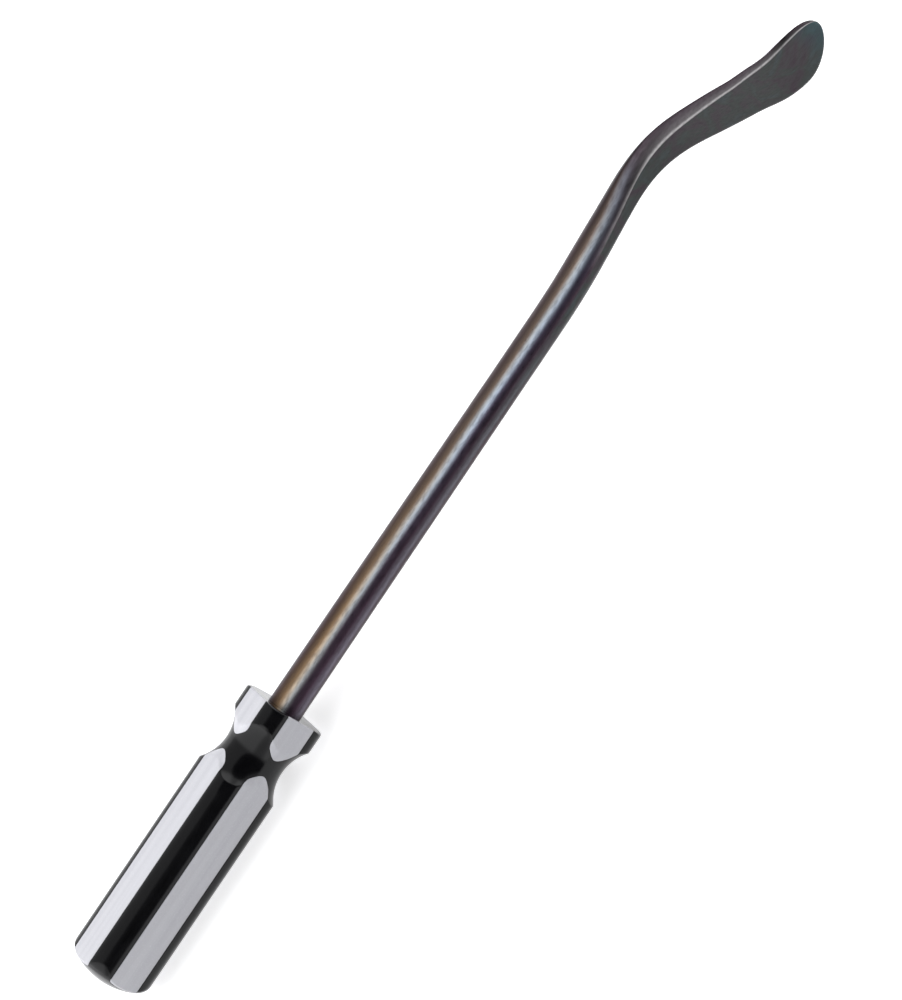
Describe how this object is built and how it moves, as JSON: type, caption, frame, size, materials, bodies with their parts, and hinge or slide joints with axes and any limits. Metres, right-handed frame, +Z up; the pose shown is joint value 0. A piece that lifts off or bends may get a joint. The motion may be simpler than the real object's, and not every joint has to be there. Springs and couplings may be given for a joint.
{
  "type": "curved tyre spoon",
  "caption": "Tyre lever: a round steel shaft with a bent, flattened spoon at its far end, driven into a square plastic handle with rounded corners, inlaid stripes and a turned neck.",
  "frame": {"origin": "bottom centre of the tool's box, on the table that it lies on", "axes": "+X along the shaft from the butt of the handle to the spoon, the blade bends towards -Y, +Z up"},
  "size_m": [0.3802, 0.0388, 0.0265],
  "materials": {
    "steel": "forged steel with a dark brown to blue heat tint, satin",
    "black_plastic": "gloss black moulded plastic",
    "silver_plastic": "silver-grey plastic with a fine lengthwise grain, satin"
  },
  "bodies": {
    "root": {"lever": "steel", "handle_core": "black_plastic", "grip_stripe_1": "silver_plastic", "grip_stripe_2": "silver_plastic", "grip_stripe_3": "silver_plastic", "grip_stripe_4": "silver_plastic", "collar_stripe_1": "silver_plastic", "collar_stripe_2": "silver_plastic", "collar_stripe_3": "silver_plastic", "collar_stripe_4": "silver_plastic"}
  },
  "joints": []
}
